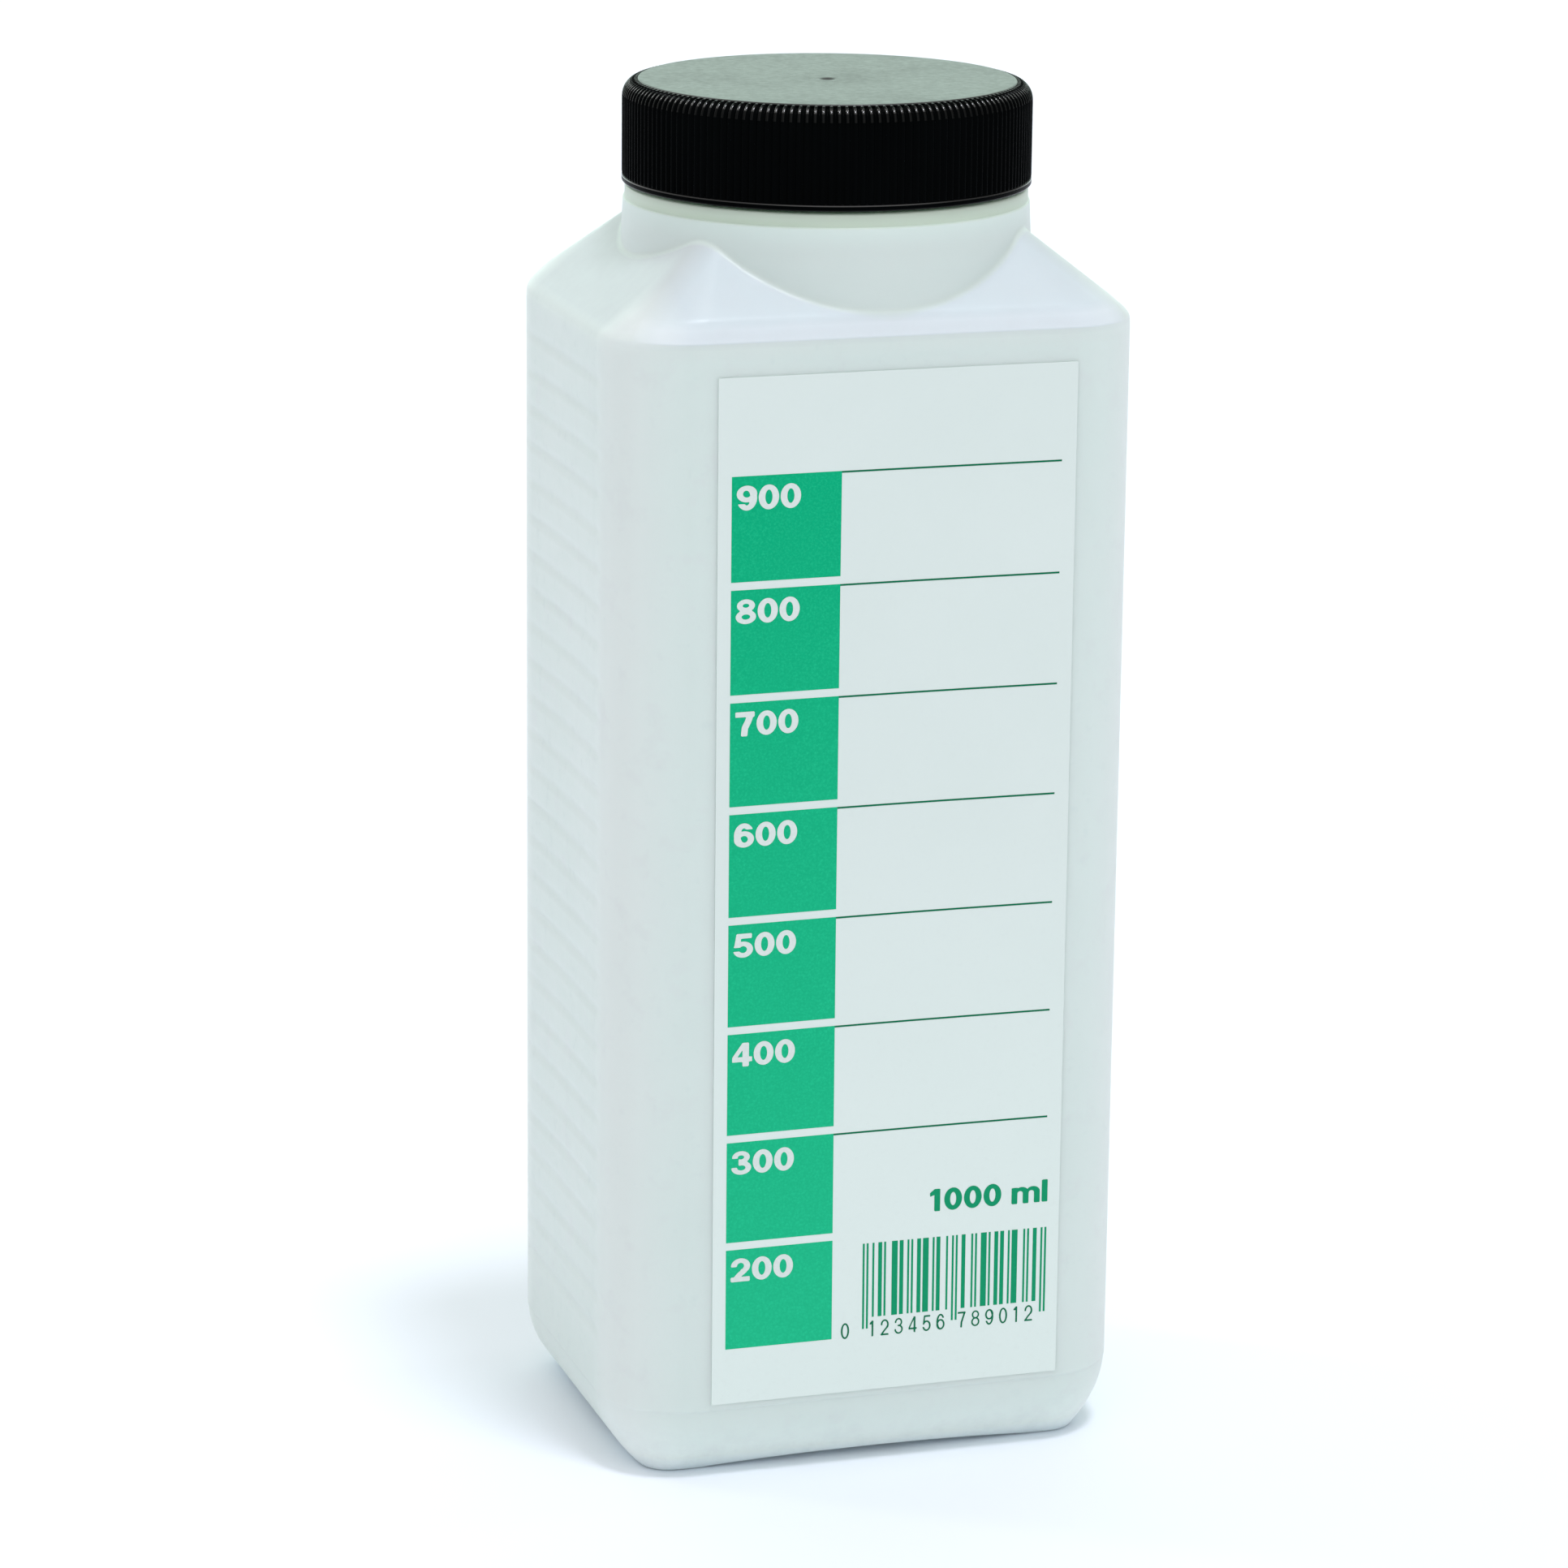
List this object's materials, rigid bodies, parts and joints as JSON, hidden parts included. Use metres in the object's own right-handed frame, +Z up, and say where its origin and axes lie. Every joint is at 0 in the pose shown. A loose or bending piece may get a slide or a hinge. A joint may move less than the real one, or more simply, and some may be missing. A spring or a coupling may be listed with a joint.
{
  "type": "square-shouldered wide-neck bottle with screw cap",
  "caption": "Milky white rectangular plastic lab bottle with a wide neck, black ribbed screw cap, sealing disc and a green graduated adhesive label.",
  "frame": {"origin": "on the standing plane, on the neck axis, which is the centre of the body's outline", "axes": "+Z up along the neck axis; the label faces -Y; the grooved side faces are -X and +X"},
  "size_m": [0.0886, 0.0696, 0.2252],
  "materials": {
    "bottle": "satin milky polyethylene",
    "cap": "black semi-gloss polypropylene",
    "seal_liner": "white foamed polyethylene",
    "label": "matt pale film with green print"
  },
  "bodies": {
    "bottle": {"bottle": "bottle", "label": "label"},
    "sealing_disc": {"seal_liner": "seal_liner"},
    "screw_cap": {"cap": "cap"}
  },
  "joints": [
    {"name": "cap_lift", "type": "slide", "parent": "bottle", "child": "sealing_disc", "axis": [0, 0, 1], "range_m": [0, 0.03]},
    {"name": "cap_turn", "type": "hinge", "parent": "sealing_disc", "child": "screw_cap", "pos_m": [0, 0, 0.215], "axis": [0, 0, 1], "range_deg": [0, 1800]}
  ],
  "couplings": [
    {"joint": "cap_lift", "follows": "cap_turn", "m_per_rad": 0.00095493}
  ]
}
